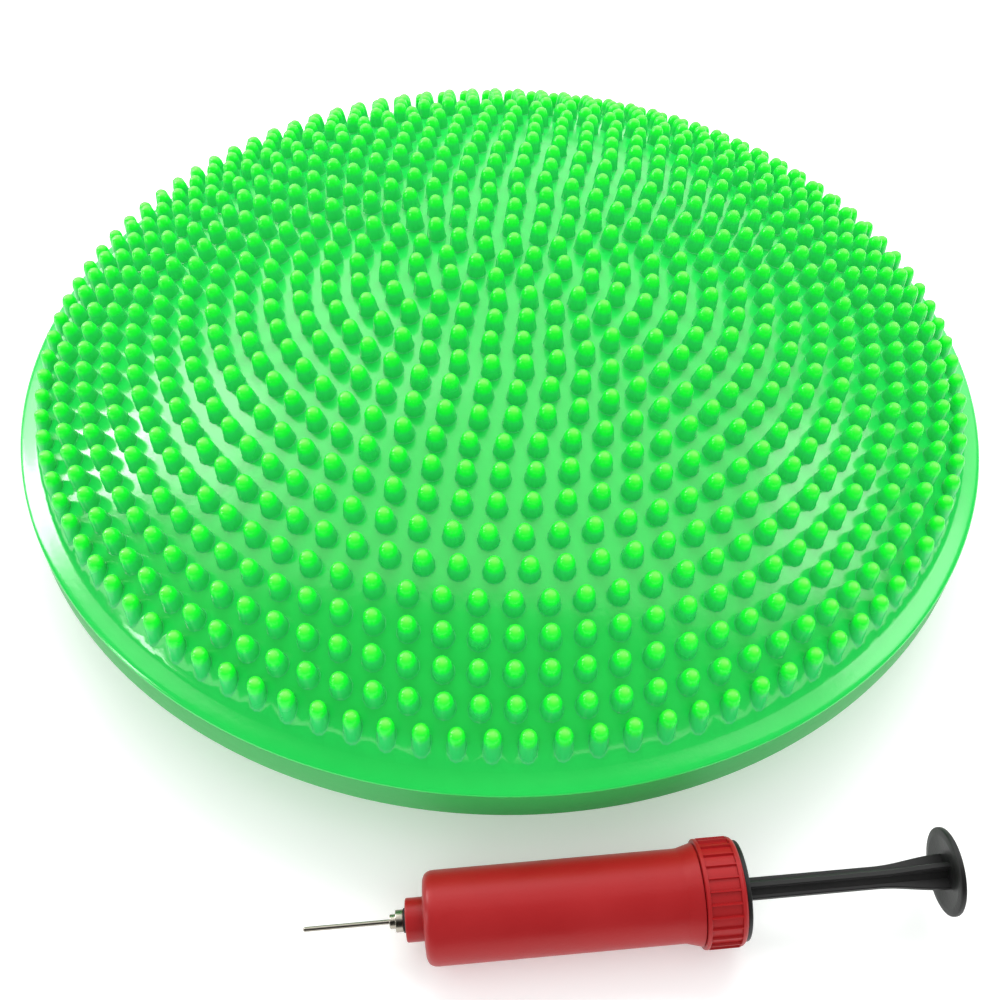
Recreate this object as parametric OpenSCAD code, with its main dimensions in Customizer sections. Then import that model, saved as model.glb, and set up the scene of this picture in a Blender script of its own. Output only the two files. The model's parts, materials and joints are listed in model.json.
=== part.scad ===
// Inflatable balance pad with a nubbed upper dome, and the hand pump that goes with it.
// The origin is the centre of the pad's resting face. +Z is up, and the pump lies along the -Y side.

/* [Pad] */
// Outside diameter at the rim band
pad_d = 336; // [320:1:350]
// Height of the plain side band
band_h = 11.5; // [11:0.5:16]
// Width of the bare shoulder inside the band
shoulder_w = 7.5; // [6:0.5:12]
// Rise of the shoulder from the band inwards
shoulder_rise = 2.6; // [1:0.1:4]
// Width of the steep step that the last ring of nubs stands on
step_w = 3; // [2:0.5:5]
// Height of that step, from the shoulder to the foot of the dome
step_h = 6; // [3:0.1:8]
// Rise of the upper dome above its foot
dome_rise = 36; // [30:0.5:45]
// Fullness of the dome: 2 is a paraboloid, more is flatter on top and steeper at the foot
dome_power = 2.66; // [2:0.01:3.5]
// Depth of the lower dome under the band
base_depth = 24; // [22:1:34]
// Diameter of the flat patch that rests on the floor
foot_d = 150; // [120:5:180]
// Thickness of the moulded skin
wall_t = 2.5; // [2:0.25:3]

/* [Nubs] */
// Number of rings of nubs around the centre nub
ring_count = 17; // [12:1:17]
// Distance from ring to ring near the centre
ring_pitch = 9.68; // [9.5:0.01:12]
// Height of the nubs
nub_h = 7.4; // [6:0.1:10]
// Diameter of a nub where it meets the skin
nub_d = 6.5; // [5.5:0.25:7]

/* [Valve] */
// Outside diameter of the moulded valve seat
seat_d = 10; // [9:0.5:11]
// Diameter of the rubber bung
bung_d = 6.5; // [6:0.5:7]
// Diameter of the needle channel in the bung
channel_d = 1.5; // [1.4:0.1:2]

/* [Pump] */
// Outside diameter of the barrel
barrel_d = 25; // [23:0.5:27]
// Thickness of the barrel wall
barrel_t = 1.6; // [1.2:0.1:1.8]
// Length of the barrel ahead of its collar
barrel_len = 75; // [70:1:85]
// Outside diameter of the ribbed collar
collar_d = 29.4; // [28.5:0.1:31]
// Length of the ribbed collar
collar_len = 11; // [10:0.5:14]
// Number of grip ribs round the collar
collar_ribs = 26; // [20:1:32]
// Diameter of the handle disc
handle_d = 24; // [20:0.5:27]
// Length of needle that stands out of its hub
needle_len = 23.5; // [22:0.5:30]
// Outside diameter of the needle
needle_d = 1.3; // [1.2:0.1:1.4]
// Length of rod that shows between the collar and the handle
rod_out = 57.5; // [50:0.5:60]
// Turn of the pump's axis away from the X axis
pump_yaw = 6.2; // [0:0.1:10]

/* [Hidden] */
$fn = 96;

// Pad
pad_r = pad_d / 2;
dome_r = pad_r - shoulder_w - step_w;
foot_r = foot_d / 2;
band_top = base_depth + band_h;
shoulder_top = band_top + shoulder_rise;
dome_foot = shoulder_top + step_h;
rim_slope = dome_rise * dome_power / dome_r;
base_power = 1.8;
edge_r = 2;
lower_edge_r = 1;
profile_steps = 18;
nub_root = 1;
most_lean = 9;

// Valve, at the back of the band
valve_z = base_depth + band_h / 2;
valve_out = pad_r - 0.6;
seat_len = 18;
channel_len = 12;

// Pump, measured along its axis from the needle's tip
hub_step_1 = needle_len;
hub_step_2 = hub_step_1 + 1.6;
washer_at = hub_step_2 + 2.2;
washer_t = 0.6;
washer_gap = 0.03;
boss_at = washer_at + washer_t;
boss_len = 5;
front_at = boss_at + boss_len;
front_t = 3;
chamber_at = front_at + front_t;
collar_at = front_at + barrel_len;
guide_face = collar_at + collar_len;
guide_flange = 1.3;
rod_seen_at = guide_face + guide_flange;
handle_at = rod_seen_at + rod_out;

barrel_r = barrel_d / 2;
bore_r = barrel_r - barrel_t;
boss_r = 5.8;
thread_r = 2.25;
insert_bore_r = 2.4;
insert_r = 3.6;
insert_len = 7;
neck_r = barrel_r - 0.3;
neck_len = 7.5;
collar_r = collar_d / 2;
rib_h = 0.7;
rod_r = 3.05;
guide_bore_r = 3.3;
fin_t = 1.6;
fin_in = 0.8;
flare_len = 20;
flare_r = 5;
piston_len = 8;
piston_at = chamber_at + 37.5;
piston_r = bore_r - 0.4;
groove_w = 2.6;
groove_r = bore_r - 2;
ring_gap = 0.05;

// The pump lies on the front edge of its collar and the front edge of its barrel.
front_edge = front_at + edge_r;
pump_tilt = atan((collar_r - barrel_r) / (collar_at - front_edge));
tip_x = -49.6;
tip_y = -196.8;
tip_z = collar_r * cos(pump_tilt) - collar_at * sin(pump_tilt);

// Height of the upper dome's outer face at radius r
function dome_z(r) = dome_foot + dome_rise * (1 - pow(r / dome_r, dome_power));

// Steepness of the upper dome at radius r, in degrees
function dome_lean(r) = atan(rim_slope * pow(r / dome_r, dome_power - 1));

// Whether radius r is that of the last ring of nubs
function on_step(r) = r > dome_r - 1;

// Lean of the nub at radius r, which is square to the dome near the top and upright on the step
function nub_lean(r) = on_step(r) ? 0 : min(dome_lean(r), most_lean);

// Height of the lower dome's outer face at radius r
function base_z(r) = r <= foot_r ? 0 : base_depth * pow((r - foot_r) / (pad_r - lower_edge_r - foot_r), base_power);

// Radius of nub ring k, with the rings closer in plan where the dome is steeper
function ring_r(k) = ring_pitch * k - (ring_pitch * ring_count - dome_r) * pow(k / ring_count, 4);

// Outer and inner lines of the dome, from the axis to its foot
function dome_line(reach, drop) = [for (i = [0:profile_steps])
    let (r = reach * sqrt(i / profile_steps)) [r, dome_z(r) - drop]];

// Line of the lower dome, from the rim to its foot
function base_line(reach, lift) = [for (i = [profile_steps:-1:0])
    let (r = foot_r + (reach - foot_r) * i / profile_steps) [r, base_z(r) + lift]];

function reversed(list) = [for (i = [len(list) - 1:-1:0]) list[i]];

module pump_place() {
    translate([tip_x, tip_y, tip_z])
        rotate([0, 0, pump_yaw])
            rotate([0, 90 - pump_tilt, 0])
                children();
}

module tube(r_out, r_in, length) {
    difference() {
        cylinder(r = r_out, h = length);
        translate([0, 0, -1])
            cylinder(r = r_in, h = length + 2);
    }
}

// Upper shell: dome, bare shoulder and the upper edge of the rim
module top_skin() {
    color("limegreen")
        rotate_extrude()
            polygon(concat(
                dome_line(dome_r, 0),
                [[dome_r + step_w, shoulder_top], [pad_r - edge_r, band_top + 0.6], [pad_r - 0.4, band_top + 0.2], [pad_r, band_top]],
                [[pad_r - wall_t, band_top], [dome_r + step_w - wall_t, shoulder_top - wall_t]],
                reversed(dome_line(dome_r - wall_t, wall_t))
            ));
}

// Rows of nubs as plain ridges, one round each ring, with the single nub in the centre
module nub_rings() {
    color("lime") {
        nub_ridge_centre();
        for (k = [1:ring_count])
            nub_ridge(ring_r(k));
    }
}

module nub_ridge(r) {
    rotate_extrude()
        translate([r, dome_z(r)])
            rotate(-nub_lean(r))
                nub_outline(on_step(r) ? step_h : 0);
}

// Section of a ridge, whose outer side may reach further down
module nub_outline(drop) {
    half = nub_d / 2;
    polygon([
        [-half, -nub_root], [half, -nub_root - drop], [0.8 * half, 0.6 * nub_h],
        [0.5 * half, 0.9 * nub_h], [0.2 * half, nub_h], [-0.2 * half, nub_h],
        [-0.5 * half, 0.9 * nub_h], [-0.8 * half, 0.6 * nub_h]
    ]);
}

module nub_ridge_centre() {
    half = nub_d / 2;
    rotate_extrude()
        translate([0, dome_z(0)])
            polygon([
                [0, -nub_root], [half, -nub_root], [0.8 * half, 0.6 * nub_h],
                [0.5 * half, 0.9 * nub_h], [0, nub_h]
            ]);
}

// Lower shell: side band and lower dome, with the hole for the valve seat
module bottom_skin() {
    color("seagreen")
        difference() {
            rotate_extrude()
                polygon(concat(
                    [[0, 0]],
                    reversed(base_line(pad_r - lower_edge_r, 0)),
                    [[pad_r - 0.25, base_depth + 0.3], [pad_r, base_depth + lower_edge_r], [pad_r, band_top]],
                    [[pad_r - wall_t, band_top]],
                    base_line(pad_r - wall_t, wall_t),
                    [[0, wall_t]]
                ));
            valve_place(-seat_len)
                cylinder(d = seat_d, h = seat_len + 2);
        }
}

// Puts its children on the valve's axis, with Z pointing out of the band
module valve_place(depth) {
    translate([0, valve_out, valve_z])
        rotate([-90, 0, 0])
            translate([0, 0, depth])
                children();
}

// Moulded sleeve that holds the valve
module valve_seat() {
    color("seagreen")
        valve_place(-seat_len)
            tube(seat_d / 2, bung_d / 2, seat_len);
}

// Self-sealing rubber bung, with the channel that guides the needle
module valve_bung() {
    color("darkslategray")
        valve_place(-seat_len)
            difference() {
                cylinder(d = bung_d, h = seat_len - 0.4);
                translate([0, 0, seat_len - 0.4 - channel_len])
                    cylinder(d = channel_d, h = channel_len + 1, $fn = 32);
            }
}

// Barrel with its front wall, nose boss and screwed rear neck
module pump_barrel() {
    color("firebrick")
        pump_place()
            difference() {
                rotate_extrude()
                    polygon([
                        [0, boss_at], [boss_r - 0.5, boss_at], [boss_r, boss_at + 0.5], [boss_r, front_at],
                        [barrel_r - edge_r, front_at], [barrel_r - 0.6, front_at + 0.6],
                        [barrel_r, front_at + edge_r], [barrel_r, collar_at - 5],
                        [barrel_r + 0.9, collar_at - 0.2], [neck_r, collar_at - 0.2],
                        [neck_r, collar_at + neck_len], [0, collar_at + neck_len]
                    ]);
                translate([0, 0, chamber_at])
                    cylinder(r = bore_r, h = collar_at);
                translate([0, 0, boss_at - 1])
                    cylinder(r = insert_r, h = insert_len + 1, $fn = 48);
                translate([0, 0, boss_at])
                    cylinder(r = 1.2, h = front_at, $fn = 32);
            }
}

// Brass sleeve in the boss that the needle screws into
module nozzle_insert() {
    color("goldenrod")
        pump_place()
            translate([0, 0, boss_at])
                tube(insert_r, insert_bore_r, insert_len);
}

// Rubber flap that stops air coming back from the needle
module outlet_flap() {
    color("black")
        pump_place()
            translate([0, 0, chamber_at])
                cylinder(r = 4, h = 0.8);
}

// Cage that keeps the flap against the front wall
module flap_retainer() {
    color("white")
        pump_place()
            translate([0, 0, chamber_at])
                difference() {
                    cylinder(r = 6.5, h = 2.6);
                    translate([0, 0, -1])
                        cylinder(r = 4.3, h = 2.6);
                    for (turn = [0:90:270])
                        rotate([0, 0, turn])
                            translate([2.6, 0, 0])
                                cylinder(r = 0.8, h = 4, $fn = 24);
                }
}

// Ribbed screw collar, drawn as one outline with a rib at every pitch
module pump_collar() {
    root_r = collar_r - rib_h;
    pitch = 360 / collar_ribs;
    outline = [for (i = [0:collar_ribs - 1]) for (corner = [[-0.14, 0], [-0.08, 1], [0.08, 1], [0.14, 0]])
        let (a = (i + corner[0]) * pitch, r = root_r + corner[1] * rib_h) [r * cos(a), r * sin(a)]];
    color("crimson")
        pump_place()
            translate([0, 0, collar_at])
                difference() {
                    linear_extrude(collar_len)
                        polygon(outline);
                    translate([0, 0, -1])
                        cylinder(r = neck_r + 0.1, h = neck_len + 1.4);
                    cylinder(r = bore_r, h = collar_len + 1);
                }
}

// Black plug in the rear of the barrel that the rod slides through
module rod_guide() {
    color("black")
        pump_place()
            difference() {
                union() {
                    translate([0, 0, guide_face])
                        cylinder(r = collar_r - 1.3, h = guide_flange);
                    translate([0, 0, collar_at + 3])
                        cylinder(r = bore_r - 0.1, h = collar_len - 3);
                }
                cylinder(r = guide_bore_r, h = handle_at, $fn = 48);
            }
}

// One flat fin of the rod, which flares out towards the handle
module rod_fin() {
    rear = piston_at + piston_len;
    flare_at = handle_at - flare_len;
    rotate([90, 0, 0])
        linear_extrude(fin_t, center = true)
            polygon([
                [-rod_r, rear], [rod_r, rear], [rod_r, flare_at], [rod_r + 0.8, flare_at + 0.4 * flare_len],
                [flare_r - 0.2, handle_at - 4], [flare_r, handle_at], [-flare_r, handle_at],
                [0.2 - flare_r, handle_at - 4], [-rod_r - 0.8, flare_at + 0.4 * flare_len], [-rod_r, flare_at]
            ]);
}

// Rod of cross-shaped section round a solid core
module plunger_rod() {
    rear = piston_at + piston_len;
    color("black")
        pump_place()
            union() {
                translate([0, 0, rear])
                    cylinder(r = rod_r - fin_in, h = handle_at - rear);
                rod_fin();
                rotate([0, 0, 90])
                    rod_fin();
            }
}

// Thin dished disc that the palm pushes on
module plunger_handle() {
    r = handle_d / 2;
    color("black")
        pump_place()
            translate([0, 0, handle_at])
                rotate_extrude()
                    polygon([
                        [0, 0], [flare_r, 0], [r - 2, -0.7], [r - 0.4, -0.5], [r, 0.3],
                        [r - 0.4, 1], [r - 2, 1.2], [0, 2.2]
                    ]);
}

// Piston with a groove for its seal
module piston_head() {
    land = (piston_len - groove_w) / 2;
    color("white")
        pump_place()
            translate([0, 0, piston_at])
                rotate_extrude()
                    polygon([
                        [0, 0], [piston_r - 0.5, 0], [piston_r, 0.5], [piston_r, land], [groove_r, land],
                        [groove_r, land + groove_w], [piston_r, land + groove_w], [piston_r, piston_len],
                        [0, piston_len]
                    ]);
}

// Rubber seal that fills the groove and runs along the bore
module piston_ring() {
    seal_r = (bore_r - ring_gap - groove_r - 0.05) / 2;
    color("black")
        pump_place()
            translate([0, 0, piston_at + piston_len / 2])
                rotate_extrude()
                    translate([groove_r + 0.05 + seal_r, 0])
                        circle(r = seal_r, $fn = 32);
}

// Rubber ring that seals the needle's hub against the boss
module needle_washer() {
    color("dimgray")
        pump_place()
            translate([0, 0, washer_at + washer_gap])
                tube(thread_r + 1, thread_r + 0.1, washer_t - 2 * washer_gap);
}

// Two-step nickel hub with its screwed end, bored for the tube
module needle_hub() {
    color("silver")
        pump_place()
            difference() {
                rotate_extrude()
                    polygon([
                        [0, hub_step_1], [1.7, hub_step_1], [1.9, hub_step_1 + 0.2], [1.9, hub_step_2],
                        [2.95, hub_step_2], [2.95, washer_at], [thread_r, washer_at],
                        [thread_r, washer_at + 6.4], [0, washer_at + 6.4]
                    ]);
                cylinder(d = needle_d, h = handle_at, $fn = 32);
            }
}

// Hollow needle with a rounded closed tip and a side hole behind it
module needle_tube() {
    r = needle_d / 2;
    color("silver")
        pump_place()
            difference() {
                union() {
                    translate([0, 0, r])
                        sphere(r = r, $fn = 32);
                    translate([0, 0, r])
                        cylinder(r = r, h = washer_at + 4 - r, $fn = 32);
                }
                translate([0, 0, 2])
                    cylinder(r = 0.35, h = handle_at, $fn = 32);
                translate([0, 0, 3])
                    rotate([0, 90, 0])
                        cylinder(r = 0.3, h = 2, $fn = 24);
            }
}

top_skin();
nub_rings();
bottom_skin();
valve_seat();
valve_bung();
pump_barrel();
nozzle_insert();
outlet_flap();
flap_retainer();
pump_collar();
rod_guide();
plunger_rod();
plunger_handle();
piston_head();
piston_ring();
needle_washer();
needle_hub();
needle_tube();
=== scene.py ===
import json
import math

import bmesh
import bpy
import numpy as np
from mathutils import Matrix, Quaternion, Vector
from mathutils.geometry import delaunay_2d_cdt


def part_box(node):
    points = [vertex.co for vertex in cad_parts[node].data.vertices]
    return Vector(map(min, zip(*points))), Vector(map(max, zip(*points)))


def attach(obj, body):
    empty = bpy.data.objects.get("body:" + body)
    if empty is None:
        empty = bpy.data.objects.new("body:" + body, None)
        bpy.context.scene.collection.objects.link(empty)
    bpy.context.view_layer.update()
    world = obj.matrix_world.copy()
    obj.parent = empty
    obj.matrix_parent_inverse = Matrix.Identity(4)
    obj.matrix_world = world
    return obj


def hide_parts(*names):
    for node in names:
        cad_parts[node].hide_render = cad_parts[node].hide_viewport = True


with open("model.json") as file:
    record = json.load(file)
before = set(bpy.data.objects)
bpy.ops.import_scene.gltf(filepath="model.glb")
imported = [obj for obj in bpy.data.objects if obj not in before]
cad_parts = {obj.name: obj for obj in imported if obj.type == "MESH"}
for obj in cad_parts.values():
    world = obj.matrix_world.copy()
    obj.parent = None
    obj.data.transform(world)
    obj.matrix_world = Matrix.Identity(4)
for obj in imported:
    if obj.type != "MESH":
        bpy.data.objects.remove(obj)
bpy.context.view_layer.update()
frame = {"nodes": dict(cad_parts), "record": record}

MM = 0.001
NO_MOVE = Matrix.Identity(4)
collection = bpy.context.scene.collection
mounts = {m["name"]: m for m in frame["record"]["mounts"]}
joints = {j["name"]: j for j in frame["record"]["behaviour"]["joints"]}

# ---------------------------------------------------------------- camera
# It stands in front of the pad, 50 degrees up, rolls a little, and aims at a point below the pad's middle.
CAMERA_UP = math.radians(49.88)
CAMERA_ROLL = math.radians(1.6)
CAMERA_AWAY = 490 * MM
CAMERA_AIM = Vector((0.5, 0, -39.3)) * MM
CAMERA_LENS = 43.12

camera_data = bpy.data.cameras.new("camera")
camera_data.lens = CAMERA_LENS
camera_data.sensor_width = 36
camera_data.clip_start = 0.01
camera_data.clip_end = 50
camera = bpy.data.objects.new("camera", camera_data)
collection.objects.link(camera)
camera_back = Vector((0, -math.cos(CAMERA_UP), math.sin(CAMERA_UP)))
camera.location = CAMERA_AIM + camera_back * CAMERA_AWAY
camera.rotation_mode = "QUATERNION"
camera.rotation_quaternion = (-camera_back).to_track_quat("-Z", "Y") @ Quaternion((0, 0, 1), CAMERA_ROLL)
bpy.context.scene.camera = camera


# ---------------------------------------------------------------- mesh helpers
def add_mesh(name, points, faces, place=NO_MOVE, sharp=None):
    """A smooth closed mesh from points in millimetres, set in place and facing outwards.
    Edges that turn more than sharp degrees stay sharp."""
    mesh = bpy.data.meshes.new(name)
    mesh.from_pydata([tuple(place @ (Vector(p) * MM)) for p in points], [], faces)
    shape = bmesh.new()
    shape.from_mesh(mesh)
    if shape.calc_volume(signed=True) < 0:
        mesh.flip_normals()
    shape.free()
    mesh.shade_smooth()
    if sharp is not None:
        mesh.set_sharp_from_angle(angle=math.radians(sharp))
    piece = bpy.data.objects.new(name, mesh)
    collection.objects.link(piece)
    return piece


def strip(first, second, count):
    """Quads between two rings of points that start at these numbers."""
    return [
        (first + i, first + (i + 1) % count, second + (i + 1) % count, second + i)
        for i in range(count)
    ]


def fan(ring, tip, count):
    """Triangles from a ring of points to one point."""
    return [(ring + i, ring + (i + 1) % count, tip) for i in range(count)]


def rounded(corners, steps=5):
    """Points of an outline from (along, out, rounding) corners.
    Its first and last corners stay as they are."""
    points = [corners[0][:2]]
    for before, corner, after in zip(corners, corners[1:], corners[2:]):
        here = Vector(corner[:2])
        back = Vector(before[:2]) - here
        on = Vector(after[:2]) - here
        half = back.angle(on) / 2
        reach = min(corner[2] / math.tan(half), 0.49 * back.length, 0.49 * on.length)
        if reach < 1e-4:
            points.append(corner[:2])
            continue
        start = here + back.normalized() * reach
        end = here + on.normalized() * reach
        for i in range(steps + 1):
            t = i / steps
            points.append(tuple(start * (1 - t) ** 2 + here * 2 * t * (1 - t) + end * t**2))
    points.append(corners[-1][:2])
    return points


def joined(name, rings, place, closed=False, sharp=35):
    """A skin over rings that all have as many points, apart from a single point where the skin ends.
    A closed skin goes back to its first ring."""
    sides = max(len(ring) for ring in rings)
    starts = [sum(len(ring) for ring in rings[:n]) for n in range(len(rings))]
    faces = []
    for n in range(len(rings) if closed else len(rings) - 1):
        after = (n + 1) % len(rings)
        if len(rings[n]) == 1:
            faces += [tuple(reversed(f)) for f in fan(starts[after], starts[n], sides)]
        elif len(rings[after]) == 1:
            faces += fan(starts[n], starts[after], sides)
        else:
            faces += strip(starts[n], starts[after], sides)
    return add_mesh(name, [point for ring in rings for point in ring], faces, place, sharp)


def turned(name, outline, place, sides=96, closed=False, sharp=35, wave=None):
    """A piece turned about the place's X axis from (along, out) points.
    A closed outline makes a ring or a tube. wave(along, angle) is what a rib adds to a point's radius."""
    rings = []
    for along, out in outline:
        if out < 1e-6:
            rings.append([(along, 0, 0)])
            continue
        ring = []
        for i in range(sides):
            angle = math.tau * i / sides
            r = out + (wave(along, angle) if wave else 0)
            ring.append((along, r * math.cos(angle), r * math.sin(angle)))
        rings.append(ring)
    return joined(name, rings, place, closed, sharp)


# ---------------------------------------------------------------- materials
# The part of a noise's range that its values mostly fill
NOISE_LOW = 0.3
NOISE_HIGH = 0.7
GLOSS_CHANGE = 0.15


def add_noise(nodes, links, where, scale, detail):
    """Noise over the object, so many to the metre."""
    noise = nodes.new("ShaderNodeTexNoise")
    noise.inputs["Scale"].default_value = scale
    noise.inputs["Detail"].default_value = detail
    links.new(where, noise.inputs["Vector"])
    return noise.outputs["Fac"]


def varied(nodes, links, noise, middle, change):
    """A value that follows the noise, up to this share above and below its middle."""
    value = nodes.new("ShaderNodeMapRange")
    value.inputs["From Min"].default_value = NOISE_LOW
    value.inputs["From Max"].default_value = NOISE_HIGH
    value.inputs["To Min"].default_value = middle * (1 - change)
    value.inputs["To Max"].default_value = middle * (1 + change)
    links.new(noise, value.inputs["Value"])
    return value.outputs["Result"]


def painted_nub_light(nodes, links, painted_shades):
    """The nub's colour at each share of its height, which is stored on the mesh: painted shade low down and a
    painted highlight at the tip.
    """
    height = nodes.new("ShaderNodeAttribute")
    height.attribute_name = "nub_height"
    ramp = nodes.new("ShaderNodeValToRGB")
    stops = ramp.color_ramp.elements
    while len(stops) < len(painted_shades):
        stops.new(0.5)
    for stop, (share, shade) in zip(stops, painted_shades.items()):
        stop.position = share
        stop.color = (*shade, 1)
    links.new(height.outputs["Fac"], ramp.inputs["Fac"])
    return ramp.outputs["Color"]


def add_material(name, colour, roughness, mottling=0.06, blotch=25, grain=900, grain_depth=0.02, **sockets):
    """A moulded plastic, rubber or metal: its colour and gloss change slowly in blotches, over a fine grain.
    colour is one colour, or the nubs' colours by height, which paint shade on their lower halves and a
    highlight at their tips.
    blotch and grain count per metre, grain_depth is in millimetres, and sockets are the shader's other
    values."""
    material = bpy.data.materials.new(name)
    material.use_nodes = True
    nodes = material.node_tree.nodes
    links = material.node_tree.links
    shader = nodes["Principled BSDF"]
    for socket, value in sockets.items():
        shader.inputs[socket.replace("_", " ")].default_value = value
    where = nodes.new("ShaderNodeTexCoord").outputs["Object"]
    slow = add_noise(nodes, links, where, blotch, detail=3)
    fine = add_noise(nodes, links, where, grain, detail=2)

    tint = nodes.new("ShaderNodeVectorMath")
    tint.operation = "SCALE"
    if isinstance(colour, dict):
        links.new(painted_nub_light(nodes, links, colour), tint.inputs[0])
    else:
        tint.inputs[0].default_value = colour
    links.new(varied(nodes, links, slow, 1, mottling), tint.inputs["Scale"])
    links.new(tint.outputs["Vector"], shader.inputs["Base Color"])
    links.new(varied(nodes, links, slow, roughness, GLOSS_CHANGE), shader.inputs["Roughness"])

    bump = nodes.new("ShaderNodeBump")
    bump.inputs["Strength"].default_value = 1
    bump.inputs["Distance"].default_value = grain_depth * MM
    links.new(fine, bump.inputs["Height"])
    links.new(bump.outputs["Normal"], shader.inputs["Normal"])
    return material


# The nubs' colours paint light and shade: a darker, bluer painted shade over their lower halves, bright green
# above, and a pale yellow painted highlight at their tips. These are their colours at shares of their height.
NUB_PAINTED_LIGHT = {
    0.00: (0.034, 0.62, 0.150),
    0.50: (0.034, 0.68, 0.150),
    0.70: (0.010, 0.93, 0.055),
    0.88: (0.008, 1.00, 0.034),
    0.97: (0.070, 1.00, 0.045),
    1.00: (0.160, 1.00, 0.070),
}

pad_green = add_material(
    "pad_green", (0.016, 0.68, 0.095), 0.17, mottling=0.05, blotch=14, grain=500, grain_depth=0.03,
    Specular_IOR_Level=0.7,
)
# The lower shell's green is a darker copy of the pad's green: painted shade for the band and the valve
# sleeve, which face away from the light.
shell_green_painted_shade = add_material(
    "shell_green_painted_shade", (0.035, 0.42, 0.085), 0.5, mottling=0.05, blotch=14, grain=900, grain_depth=0.04,
    Specular_IOR_Level=0.4,
)
# The nubs' material paints shade on their lower halves and a highlight on their tips, by their height.
nub_green_painted_light = add_material(
    "nub_green_painted_light", NUB_PAINTED_LIGHT, 0.25, mottling=0.03, blotch=60, grain=700, grain_depth=0.02,
    Specular_IOR_Level=0.4,
)
red_plastic = add_material(
    "red_plastic", (0.36, 0.008, 0.010), 0.36, mottling=0.05, blotch=40, grain=1400, grain_depth=0.03,
    Specular_IOR_Level=0.25,
)
black_plastic = add_material(
    "black_plastic", (0.012, 0.012, 0.012), 0.45, mottling=0.2, blotch=60, grain=1400, grain_depth=0.05,
    Specular_IOR_Level=0.35,
)
black_rubber = add_material(
    "black_rubber", (0.02, 0.02, 0.022), 0.7, mottling=0.15, grain=2500, grain_depth=0.05,
)
white_plastic = add_material("white_plastic", (0.78, 0.77, 0.74), 0.4)
nickel = add_material(
    "nickel", (0.40, 0.37, 0.31), 0.3, mottling=0.15, grain=3000, grain_depth=0.01, Metallic=1.0,
)
steel = add_material(
    "steel", (0.36, 0.33, 0.28), 0.3, mottling=0.2, grain=3000, grain_depth=0.01, Metallic=1.0,
)
brass = add_material("brass", (0.60, 0.42, 0.16), 0.3, grain=3000, grain_depth=0.01, Metallic=1.0)


def finish_piece(piece, materials, body, slot, *nodes):
    """Gives a piece its materials and its body, and hides the CAD nodes that it stands for. slot is not used.
    """
    for material in materials:
        piece.data.materials.append(material)
    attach(piece, body)
    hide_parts(*nodes)


# ---------------------------------------------------------------- the pad's shape
pad_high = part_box("bottom_skin")[1]
PAD_R = pad_high.x / MM
BAND_TOP = pad_high.z / MM
WALL = 2.5
ROUND = 240
# The lower dome: its depth, the power that its depth grows by, and the flat patch that it rests on
BASE_DEPTH = 23.6
BASE_POWER = 1.8
FOOT_R = 75
# The bare shoulder, the steep step inside it, and the dome
SHOULDER_W = 7.5
SHOULDER_RISE = 2.6
STEP_W = 3
STEP_H = 6
DOME_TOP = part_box("top_skin")[1].z / MM
DOME_POWER = 2.66
DOME_R = PAD_R - SHOULDER_W - STEP_W
DOME_FOOT = BAND_TOP + SHOULDER_RISE + STEP_H
DOME_RISE = DOME_TOP - DOME_FOOT
# How far the dome, the step and the shoulder melt into each other, in square millimetres
STEP_BLEND = 2.0
SHOULDER_BLEND = 0.8
# Inside this radius the shoulder's line runs level, well under the dome
SHOULDER_END = 0.75 * PAD_R

# Rings of nubs: each has six nubs more than the ring inside it, and the last ones lie closer together
RING_COUNT = 17
RING_PITCH = 9.68
RING_GAIN = 6
CROWDING = 4
# Nubs lean outwards with the dome, up to this much, and their roots settle on the skin in a few steps
NUB_H = 7.4
NUB_SIDES = 12
MOST_LEAN = math.radians(9)
SETTLING_STEPS = 6
# How far each ring of nubs is turned from +X, as a share of its pitch
RING_TURNS = (
    0.22, -0.18, 0.23, -0.38, 0.18, 0.47, -0.13, 0.12, -0.45,
    -0.03, 0.26, -0.06, 0.02, -0.43, 0.09, -0.34, -0.47,
)
# Outline of a nub: at shares of its height, its radius on the dome and its radius in the last ring
NUB_OUTLINE = (
    (0, 3.5, 2.95), (0.035, 3.26, 2.75), (0.12, 3.17, 2.68), (0.42, 2.93, 2.6),
    (0.70, 2.56, 2.48), (0.885, 1.95, 2.0), (0.975, 1.1, 1.15),
)

# The upper face's mesh: the radius where it ends, and the spacing of its points between the nubs,
# how far they keep off the nubs, and the grid's row spacing and its margin as shares of that spacing
FACE_EDGE = 162.5
FACE_GRID = 2.8
NUB_CLEAR = 1
GRID_ROW = 0.866
GRID_MARGIN = 0.6
# Outside the face: rings on the shoulder, then how far the rounded rim is inside and below the band's edge
SHOULDER_RINGS = (164.5, 166.2)
RIM_START = 0.9
RIM_EDGE = ((0.35, 0.08), (0.08, 0.4), (0, 0.8), (0.15, 1))
SEAM_DROP = 1
INSIDE_RINGS = (159, 157, 154, 146, 135, 118, 95, 65, 32)


def dome_z(r):
    """Height of the pad's upper face at radius r: the dome, the step at its foot and the bare shoulder."""
    dome = DOME_FOOT + DOME_RISE * (1 - (r / DOME_R) ** DOME_POWER)
    step = DOME_FOOT - STEP_H * (r - DOME_R) / STEP_W
    shoulder = BAND_TOP + SHOULDER_RISE * (PAD_R - np.maximum(r, SHOULDER_END)) / SHOULDER_W
    falling = (dome + step - np.sqrt((dome - step) ** 2 + STEP_BLEND)) / 2
    return (falling + shoulder + np.sqrt((falling - shoulder) ** 2 + SHOULDER_BLEND)) / 2


def fall_at(r, reach):
    """How steeply the upper face falls outwards at radius r, taken over this reach to both sides."""
    return (dome_z(np.maximum(r - reach, 0)) - dome_z(r + reach)) / (2 * reach)


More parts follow.
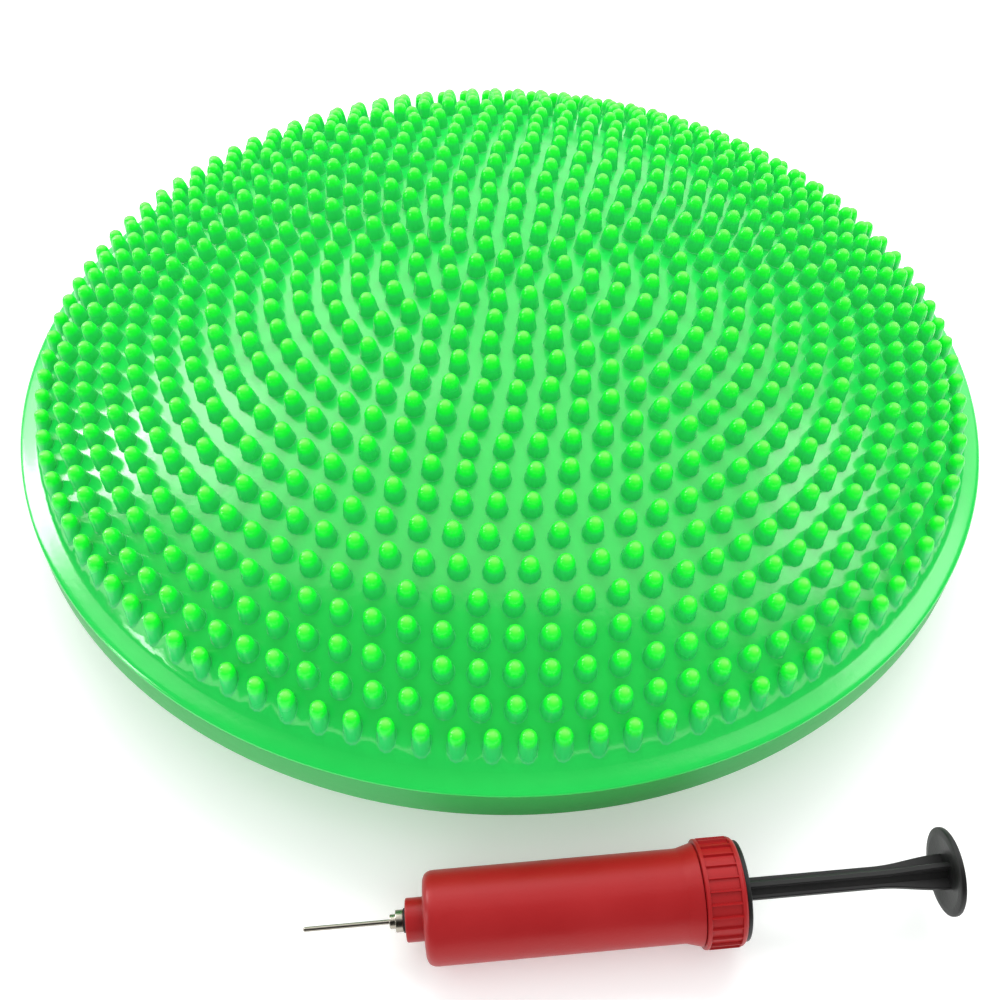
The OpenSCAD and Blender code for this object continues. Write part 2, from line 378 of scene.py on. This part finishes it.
def face_normals(points):
    """Directions square to the upper face at these points."""
    r = np.maximum(np.hypot(points[:, 0], points[:, 1]), 1e-6)
    fall = fall_at(r, 0.05)
    normals = np.column_stack((points[:, 0] / r * fall, points[:, 1] / r * fall, np.ones(len(r))))
    return normals / np.linalg.norm(normals, axis=1)[:, None]


def nub_places():
    """Radius and angle of each nub: the centre one, then ring by ring. The last rings lie a little closer."""
    places = [(0, 0)]
    crowded = RING_PITCH * RING_COUNT - DOME_R
    for k in range(1, RING_COUNT + 1):
        r = RING_PITCH * k - crowded * (k / RING_COUNT) ** CROWDING
        count = RING_GAIN * k
        places += [(r, math.tau * (i + RING_TURNS[k - 1]) / count) for i in range(count)]
    return places


def nub_points(r, angle):
    """Points and directions of the nub at this place, ring by ring from its root, with its tip last."""
    last_ring = r > DOME_R - 1
    lean = 0 if last_ring else min(math.atan(fall_at(r, 0.5)), MOST_LEAN)
    out = np.array((math.cos(angle), math.sin(angle), 0.0))
    side = np.array((-out[1], out[0], 0.0))
    up = np.array((0.0, 0.0, 1.0))
    axis = out * math.sin(lean) + up * math.cos(lean)
    along = out * math.cos(lean) - up * math.sin(lean)
    root = out * r + up * dome_z(r)
    turns = np.arange(NUB_SIDES) * math.tau / NUB_SIDES
    rays = np.cos(turns)[:, None] * along + np.sin(turns)[:, None] * side
    outline = [(slim if last_ring else wide, share * NUB_H) for share, wide, slim in NUB_OUTLINE]
    outline.append((0, NUB_H))

    # How far along the nub's axis its root has to move to lie on the skin, which falls away under it
    rim = root + rays * outline[0][0]
    drop = np.zeros(NUB_SIDES)
    for _ in range(SETTLING_STEPS):
        at = rim + drop[:, None] * axis
        drop += (dome_z(np.hypot(at[:, 0], at[:, 1])) - at[:, 2]) / axis[2]

    points, normals = [], []
    for before, (reach, height), after in zip(outline[:1] + outline, outline, outline[1:]):
        rise = height + drop * (reach / outline[0][0]) * (1 - height / NUB_H) ** 2
        run = np.array(after) - np.array(before)
        run /= np.hypot(*run)
        points.append(root + rays * reach + rise[:, None] * axis)
        normals.append(rays * run[1] - axis * run[0])
    normals[0] = face_normals(points[0])
    points.append((root + axis * NUB_H)[None])
    normals.append(axis[None])
    return np.concatenate(points), np.concatenate(normals)


def grid_points(reach, pitch):
    """Points of a triangular grid within this radius."""
    rows = int(reach / (pitch * GRID_ROW)) + 1
    cells = int(reach / pitch) + 1
    grid = np.array([
        ((i + 0.5 * (j % 2)) * pitch, j * pitch * GRID_ROW)
        for j in range(-rows, rows + 1)
        for i in range(-cells, cells + 1)
    ])
    return grid[np.hypot(grid[:, 0], grid[:, 1]) < reach - pitch * GRID_MARGIN]


def circle_points(r, z=0):
    """Points round the pad at this radius and height."""
    turns = np.arange(ROUND) * math.tau / ROUND
    return np.column_stack((np.cos(turns) * r, np.sin(turns) * r, np.full(ROUND, z)))


def face_triangles(plan, nub_count):
    """Triangles over the plan of the upper face, all round the nubs' roots but not inside them.
    The plan's points start with the face's edge, then come the roots of all nubs."""
    root_end = ROUND + nub_count * NUB_SIDES
    loops = [range(ROUND)]
    loops += [range(start, start + NUB_SIDES) for start in range(ROUND, root_end, NUB_SIDES)]
    edges = [(loop[i - 1], loop[i]) for loop in loops for i in range(len(loop))]
    _, _, found, sources, _, _ = delaunay_2d_cdt([Vector(p) for p in plan], edges, [], 0, 1e-5)
    triangles = []
    for corners in found:
        ids = [sources[c][0] for c in corners]
        roots = {(i - ROUND) // NUB_SIDES if ROUND <= i < root_end else -1 for i in ids}
        if len(roots) > 1 or -1 in roots:
            triangles.append(tuple(ids))
    return triangles


def make_nubbed_top():
    """The upper shell with all its nubs, as one closed skin."""
    places = nub_places()
    nubs = [nub_points(r, angle) for r, angle in places]
    centres = np.array([(r * math.cos(a), r * math.sin(a)) for r, a in places])
    filler = grid_points(FACE_EDGE, FACE_GRID)
    clear = NUB_OUTLINE[0][1] + NUB_CLEAR
    filler = filler[[np.min(np.hypot(*(centres - p).T)) > clear for p in filler]]
    roots = np.concatenate([points[:NUB_SIDES, :2] for points, _ in nubs])
    plan = np.concatenate((circle_points(FACE_EDGE)[:, :2], roots, filler))
    faces = face_triangles(plan, len(nubs))
    points = [np.column_stack((plan, dome_z(np.hypot(plan[:, 0], plan[:, 1]))))]
    normals = [face_normals(points[0])]
    heights = [np.zeros(len(plan))]
    count = len(plan)
    nub_start = len(faces)

    for n, (nub, directions) in enumerate(nubs):
        below = ROUND + n * NUB_SIDES
        points.append(nub[NUB_SIDES:])
        normals.append(directions[NUB_SIDES:])
        heights += [np.full(NUB_SIDES, share) for share, _, _ in NUB_OUTLINE[1:]] + [np.ones(1)]
        for _ in NUB_OUTLINE[1:]:
            faces += strip(below, count, NUB_SIDES)
            below = count
            count += NUB_SIDES
        faces += fan(below, count, NUB_SIDES)
        count += 1
    nub_end = len(faces)

    # The shoulder, its rounded edge over the band, and the inside of the shell
    inner_edge = PAD_R - WALL
    outline = [(r, dome_z(r)) for r in SHOULDER_RINGS]
    outline.append((PAD_R - RIM_START, dome_z(PAD_R - RIM_START) - 0.06))
    outline += [(PAD_R - inside, BAND_TOP - under) for inside, under in RIM_EDGE]
    outline.append((inner_edge, BAND_TOP - SEAM_DROP))
    outline.append((inner_edge - 1, dome_z(inner_edge - 1) - WALL))
    outline += [(r, dome_z(r + WALL) - WALL) for r in INSIDE_RINGS]
    below = 0
    for r, z in outline:
        points.append(circle_points(r, z))
        faces += strip(count, below, ROUND)
        below = count
        count += ROUND
    points.append(np.array([(0, 0, DOME_TOP - WALL)]))
    faces += [tuple(reversed(f)) for f in fan(below, count, ROUND)]
    heights.append(np.zeros(len(outline) * ROUND + 1))
    normals.append(np.zeros((len(outline) * ROUND + 1, 3)))

    piece = add_mesh("nubbed_top", np.concatenate(points), faces, sharp=50)
    attribute = piece.data.attributes.new("nub_height", "FLOAT", "POINT")
    attribute.data.foreach_set("value", np.concatenate(heights))
    materials = np.zeros(len(faces), dtype=np.int32)
    materials[nub_start:nub_end] = 1
    piece.data.polygons.foreach_set("material_index", materials)
    piece.data.normals_split_custom_set_from_vertices(np.concatenate(normals).tolist())
    return piece


top = make_nubbed_top()
finish_piece(top, [pad_green, nub_green_painted_light], "pad", "pad_pvc", "top_skin", "nub_rings")


# ---------------------------------------------------------------- lower shell and valve
UPRIGHT = Matrix.Rotation(-math.pi / 2, 4, "Y")
SEAT_R = 5
BUNG_R = 3.25
CHANNEL_R = 0.75
CHANNEL_LEN = 12
SEAT_LEN = 18
HOLE_GAP = 0.1
HOLE_REACH = 9
BASE_SHARES = (0.3, 0.6, 0.85, 1)
BASE_PITCH = 7
BASE_RINGS = 12
valve_mouth = Vector((0, PAD_R, mounts["valve_channel"]["pos_m"][2] / MM)) * MM
valve_place = Matrix.Translation(valve_mouth) @ Matrix.Rotation(math.pi / 2, 4, "Z")


def base_z(r):
    """Height of the lower dome's outer face at radius r."""
    return BASE_DEPTH * (max(0, r - FOOT_R) / (PAD_R - FOOT_R)) ** BASE_POWER


def make_lower_shell():
    """The band and the lower dome as one closed shell, with a hole through the band for the valve."""
    reaches = [FOOT_R * share for share in BASE_SHARES]
    reaches += [FOOT_R + BASE_PITCH * i for i in range(1, BASE_RINGS + 1)]
    outside = [(0, 0)] + [(base_z(r), r) for r in reaches]
    edge = rounded([
        (base_z(PAD_R - 5), PAD_R - 5, 0), (BASE_DEPTH, PAD_R, 0.9), (BAND_TOP - SEAM_DROP - 0.4, PAD_R, 0),
    ], 6)
    lip = [
        (BAND_TOP - SEAM_DROP - 0.1, PAD_R - 0.1), (BAND_TOP - SEAM_DROP, PAD_R - 0.3),
        (BAND_TOP - SEAM_DROP, PAD_R - WALL),
    ]
    inside = [(base_z(r) + WALL, min(r, PAD_R - WALL)) for r in reversed(reaches)] + [(WALL, 0)]
    shell = turned("lower_shell", outside + edge[1:] + lip + inside, UPRIGHT, sides=ROUND, sharp=None)
    hole_r = SEAT_R + HOLE_GAP
    hole_outline = [(-HOLE_REACH, 0), (-HOLE_REACH, hole_r), (HOLE_REACH, hole_r), (HOLE_REACH, 0)]
    hole = turned("hole", hole_outline, valve_place, sides=48)
    cut = shell.modifiers.new("hole", "BOOLEAN")
    cut.operation = "DIFFERENCE"
    cut.solver = "EXACT"
    cut.object = hole
    bpy.context.view_layer.update()
    cut_mesh = bpy.data.meshes.new_from_object(shell.evaluated_get(bpy.context.evaluated_depsgraph_get()))
    shell.modifiers.clear()
    shell.data = cut_mesh
    shell.data.name = "lower_shell"
    shell.data.set_sharp_from_angle(angle=math.radians(35))
    bpy.data.objects.remove(hole)
    return shell


lower = make_lower_shell()
# The lower shell takes the darker green, which is painted shade.
finish_piece(lower, [shell_green_painted_shade], "pad", "pad_pvc", "bottom_skin")

seat = turned("valve_sleeve", rounded([
    (-SEAT_LEN, BUNG_R + 0.8, 0), (-SEAT_LEN, SEAT_R, 0.5), (0.5, SEAT_R, 0.6), (0.5, BUNG_R + 0.6, 0.5),
    (-0.5, BUNG_R, 0.4), (-SEAT_LEN, BUNG_R, 0.2), (-SEAT_LEN, BUNG_R + 0.8, 0),
])[:-1], valve_place, sides=64, closed=True)
finish_piece(seat, [shell_green_painted_shade], "pad", "pad_pvc", "valve_seat")

bung = turned("valve_plug", rounded([
    (-SEAT_LEN, 0, 0), (-SEAT_LEN, BUNG_R, 0.5), (-0.6, BUNG_R, 0.5), (-1, CHANNEL_R, 0.5),
    (-CHANNEL_LEN - 1, CHANNEL_R, 0.2), (-CHANNEL_LEN - 1, 0, 0),
]), valve_place, sides=64)
finish_piece(bung, [black_rubber], "pad", "valve_rubber", "valve_bung")

# ---------------------------------------------------------------- pump
# Stations along its axis from the needle's tip
HUB_AT = 23.5
HUB_STEP = 25.1
WASHER_AT = 27.3
BOSS_AT = 27.9
FRONT_AT = 32.9
HUB_END = WASHER_AT + 6.4
CHAMBER_AT = 35.9
COLLAR_AT = 107.9
GUIDE_AT = 110.9
GUIDE_FACE = 118.9
ROD_SEEN_AT = 120.2
HANDLE_AT = 177.7
PISTON_REAR = 81.4
# Radii, lengths and widths
BARREL_R = 12.5
BORE_R = 10.9
BOSS_R = 5.8
INSERT_R = 3.6
INSERT_LEN = 7
OUTLET_R = 1.2
NECK_R = 12.2
NECK_LEN = 7.5
COLLAR_R = 14.7
COLLAR_RIBS = 26
# A grip rib's height, where it ends to both sides and how wide its flank is, as shares of the ribs' pitch
RIB_H = 0.7
RIB_EDGE = 0.1
RIB_SLOPE = 0.05
RIBS_FROM = COLLAR_AT + 1.1
RIBS_TO = GUIDE_FACE - 1.6
GUIDE_R = 13.4
GUIDE_BORE_R = 3.3
ROD_R = 3.05
ROD_CORE = 2.25
FIN_T = 1.6
FIN_ROUND = 0.25
FLARE_W = 1.95
FLARE_PITCH = 2
FLARE_RINGS = 10
HANDLE_R = 12
HUB_NOSE_R = 1.9
HUB_R = 2.95
THREAD_R = 2.25
NEEDLE_R = 0.65

pump_axis = Vector(joints["plunger_slide"]["axis"])
pump_side = Vector((0, 0, 1)).cross(pump_axis).normalized()
pump_turn = Matrix((pump_axis, pump_side, pump_axis.cross(pump_side))).transposed().to_4x4()
pump_place = Matrix.Translation(mounts["inflation_needle"]["pos_m"]) @ pump_turn

barrel = turned("barrel", rounded([
    (BOSS_AT + INSERT_LEN, INSERT_R, 0), (BOSS_AT, INSERT_R, 0.3),
    (BOSS_AT, BOSS_R, 0.6), (FRONT_AT, BOSS_R, 0.4),
    (FRONT_AT, BARREL_R, 3.4), (COLLAR_AT - 4.6, BARREL_R, 4), (COLLAR_AT - 0.2, BARREL_R + 1.2, 0.2),
    (COLLAR_AT - 0.2, NECK_R, 0), (COLLAR_AT + NECK_LEN, NECK_R, 0.5), (COLLAR_AT + NECK_LEN, BORE_R, 0.3),
    (CHAMBER_AT, BORE_R, 0.6), (CHAMBER_AT, OUTLET_R, 0.2), (BOSS_AT + INSERT_LEN, OUTLET_R, 0),
    (BOSS_AT + INSERT_LEN, INSERT_R, 0),
], 6)[:-1], pump_place, sides=128, closed=True)
finish_piece(barrel, [red_plastic], "pump", "pump_red", "pump_barrel")


def grip_rib(along, angle):
    """What a grip rib adds to the collar's radius, which is nothing on the plain rings at its ends."""
    if not RIBS_FROM < along < RIBS_TO:
        return 0
    off_middle = abs((angle * COLLAR_RIBS / math.tau + 0.5) % 1 - 0.5)
    return RIB_H * min(1, max(0, (RIB_EDGE - off_middle) / RIB_SLOPE))


panel_r = COLLAR_R - RIB_H
collar = turned("ribbed_collar", [
    (COLLAR_AT, NECK_R + 0.1), (COLLAR_AT, COLLAR_R - 0.5), (COLLAR_AT + 0.15, COLLAR_R - 0.2),
    (COLLAR_AT + 0.4, COLLAR_R - 0.1), (RIBS_FROM - 0.25, COLLAR_R - 0.1), (RIBS_FROM, COLLAR_R - 0.2),
    (RIBS_FROM + 0.1, panel_r), (RIBS_FROM + 0.5, panel_r),
    (RIBS_TO - 0.5, panel_r), (RIBS_TO - 0.1, panel_r),
    (RIBS_TO, COLLAR_R - 0.2), (RIBS_TO + 0.3, COLLAR_R - 0.15), (GUIDE_FACE - 0.7, COLLAR_R - 0.35),
    (GUIDE_FACE - 0.25, COLLAR_R - 0.7), (GUIDE_FACE, COLLAR_R - 1.2), (GUIDE_FACE, BORE_R),
    (COLLAR_AT + NECK_LEN + 0.4, BORE_R), (COLLAR_AT + NECK_LEN + 0.4, NECK_R + 0.1),
], pump_place, sides=COLLAR_RIBS * 20, closed=True, sharp=30, wave=grip_rib)
finish_piece(collar, [red_plastic], "pump", "pump_red", "pump_collar")

guide = turned("guide_plug", rounded([
    (GUIDE_AT, 7, 0), (GUIDE_AT, BORE_R - 0.1, 0.4), (GUIDE_FACE, BORE_R - 0.1, 0),
    (GUIDE_FACE, GUIDE_R, 0.2), (ROD_SEEN_AT, GUIDE_R, 0.6),
    (ROD_SEEN_AT, GUIDE_BORE_R, 0.3), (GUIDE_AT, GUIDE_BORE_R, 0.2), (GUIDE_AT, 7, 0),
])[:-1], pump_place, closed=True)
finish_piece(guide, [black_plastic], "pump", "pump_black", "rod_guide")

hub = turned("hub", rounded([
    (HUB_AT, 1.2, 0), (HUB_AT, HUB_NOSE_R, 0.3), (HUB_STEP, HUB_NOSE_R, 0.15),
    (HUB_STEP, HUB_R, 0.3), (WASHER_AT, HUB_R, 0.25),
    (WASHER_AT, THREAD_R, 0.1), (HUB_END, THREAD_R, 0.4), (HUB_END, NEEDLE_R, 0),
    (HUB_AT, NEEDLE_R, 0.15), (HUB_AT, 1.2, 0),
], 3)[:-1], pump_place, sides=64, closed=True)
finish_piece(hub, [nickel], "needle", "nickel", "needle_hub")


def rod_section(along, reach):
    """Points across the rod: four fins of this reach round its core."""
    half = FIN_T / 2
    root = math.sqrt(ROD_CORE**2 - half**2)
    diagonal = ROD_CORE * math.sqrt(0.5)
    fin = [
        (diagonal, -diagonal), (root, -half), (reach - FIN_ROUND, -half), (reach, FIN_ROUND - half),
        (reach, half - FIN_ROUND), (reach - FIN_ROUND, half), (root, half),
    ]
    turns = [(1, 0), (0, 1), (-1, 0), (0, -1)]
    return [(along, c * out - s * side, s * out + c * side) for c, s in turns for out, side in fin]


# The rod is straight from the piston on, and its fins flare out over the last stretch before the handle
flare_from = HANDLE_AT - FLARE_PITCH * FLARE_RINGS
rod_rings = [
    [(PISTON_REAR, 0, 0)], rod_section(PISTON_REAR, ROD_R - 0.3), rod_section(PISTON_REAR + 0.3, ROD_R),
    rod_section(flare_from, ROD_R),
]
for i in range(1, FLARE_RINGS + 1):
    flare = FLARE_W * (1 - math.cos(math.pi * i / FLARE_RINGS)) / 2
    rod_rings.append(rod_section(flare_from + FLARE_PITCH * i, ROD_R + flare))
rod_rings.append([(HANDLE_AT, 0, 0)])
rod = joined("rod", rod_rings, pump_place, sharp=30)
finish_piece(rod, [black_plastic], "plunger", "pump_black", "plunger_rod")

handle = turned("palm_disc", rounded([
    (HANDLE_AT - 0.1, 0, 0), (HANDLE_AT - 0.1, 5.6, 1.5), (HANDLE_AT - 0.75, HANDLE_R - 2, 2),
    (HANDLE_AT - 0.55, HANDLE_R, 0.6), (HANDLE_AT + 1, HANDLE_R, 0.7), (HANDLE_AT + 1.3, HANDLE_R - 2, 2),
    (HANDLE_AT + 2.2, 3, 3), (HANDLE_AT + 2.2, 0, 0),
], 4), pump_place)
finish_piece(handle, [black_plastic], "plunger", "pump_black", "plunger_handle")

# The pieces inside the pump and the needle keep their CAD shape
cad_finishes = {
    "nozzle_insert": brass, "outlet_flap": black_rubber, "flap_retainer": white_plastic,
    "piston_head": white_plastic, "piston_ring": black_rubber, "needle_washer": black_rubber,
    "needle_tube": steel,
}
for node, material in cad_finishes.items():
    mesh = frame["nodes"][node].data
    mesh.materials.clear()
    mesh.materials.append(material)

# ---------------------------------------------------------------- floor and light
# The floor is a hair below the pad's flat patch, so that the two faces don't lie in each other
FLOOR_Z = -0.3 * MM
FLOOR_REACH = 6
floor_corners = [
    (-FLOOR_REACH, -FLOOR_REACH, FLOOR_Z), (FLOOR_REACH, -FLOOR_REACH, FLOOR_Z),
    (FLOOR_REACH, FLOOR_REACH, FLOOR_Z), (-FLOOR_REACH, FLOOR_REACH, FLOOR_Z),
]
floor_mesh = bpy.data.meshes.new("floor")
floor_mesh.from_pydata(floor_corners, [], [(0, 1, 2, 3)])
floor = bpy.data.objects.new("floor", floor_mesh)
collection.objects.link(floor)
floor_paint = add_material(
    "floor_paint", (0.9, 0.9, 0.9), 0.7, mottling=0.01, grain=300,
    Emission_Color=(1, 1, 1, 1), Emission_Strength=0.25,
)
floor_mesh.materials.append(floor_paint)

world = bpy.data.worlds.new("studio")
world.use_nodes = True
background = world.node_tree.nodes["Background"]
background.inputs["Color"].default_value = (1, 1, 1, 1)
background.inputs["Strength"].default_value = 1.0
bpy.context.scene.world = world
world.cycles_visibility.glossy = False
LIGHTS_AIM = Vector((0, 0, 0.05))


def add_light(name, azimuth, height, away, size, radiance, gloss_only=True):
    """A soft light that faces the pad from this many metres away, size[0] by size[1] metres large.
    Its azimuth, counted from +X, and its height are in degrees. A gloss_only light is only seen in
    reflections, and any other light only lights the surfaces."""
    a = math.radians(azimuth)
    h = math.radians(height)
    towards = Vector((math.cos(a) * math.cos(h), math.sin(a) * math.cos(h), math.sin(h)))
    data = bpy.data.lights.new(name, "AREA")
    data.shape = "RECTANGLE"
    data.size, data.size_y = size
    data.energy = radiance * math.pi * size[0] * size[1]
    light = bpy.data.objects.new(name, data)
    light.location = LIGHTS_AIM + towards * away
    light.rotation_mode = "QUATERNION"
    light.rotation_quaternion = (-towards).to_track_quat("-Z", "Y")
    light.visible_camera = False
    light.visible_diffuse = not gloss_only
    light.visible_glossy = gloss_only
    collection.objects.link(light)


# One soft light from the back, and the studio's screens and windows that the pad's gloss reflects
add_light("back_softbox", 90, 56, 1.6, (1.7, 0.9), 3.6, gloss_only=False)
add_light("back_screen", 85, 54, 1.6, (4.6, 3.4), 1.4)
add_light("left_screen", 134, 42, 1.5, (1.2, 1.2), 1.1)
add_light("left_window", 154, 31, 1.5, (0.6, 1.0), 3.4)
add_light("left_core", 161, 24, 1.5, (0.36, 0.45), 12)
add_light("right_window", 13, 38, 1.5, (0.8, 0.55), 2.8)
add_light("left_strip", 200, 14, 1.2, (0.12, 0.5), 14)
bpy.context.scene.view_settings.view_transform = "Standard"
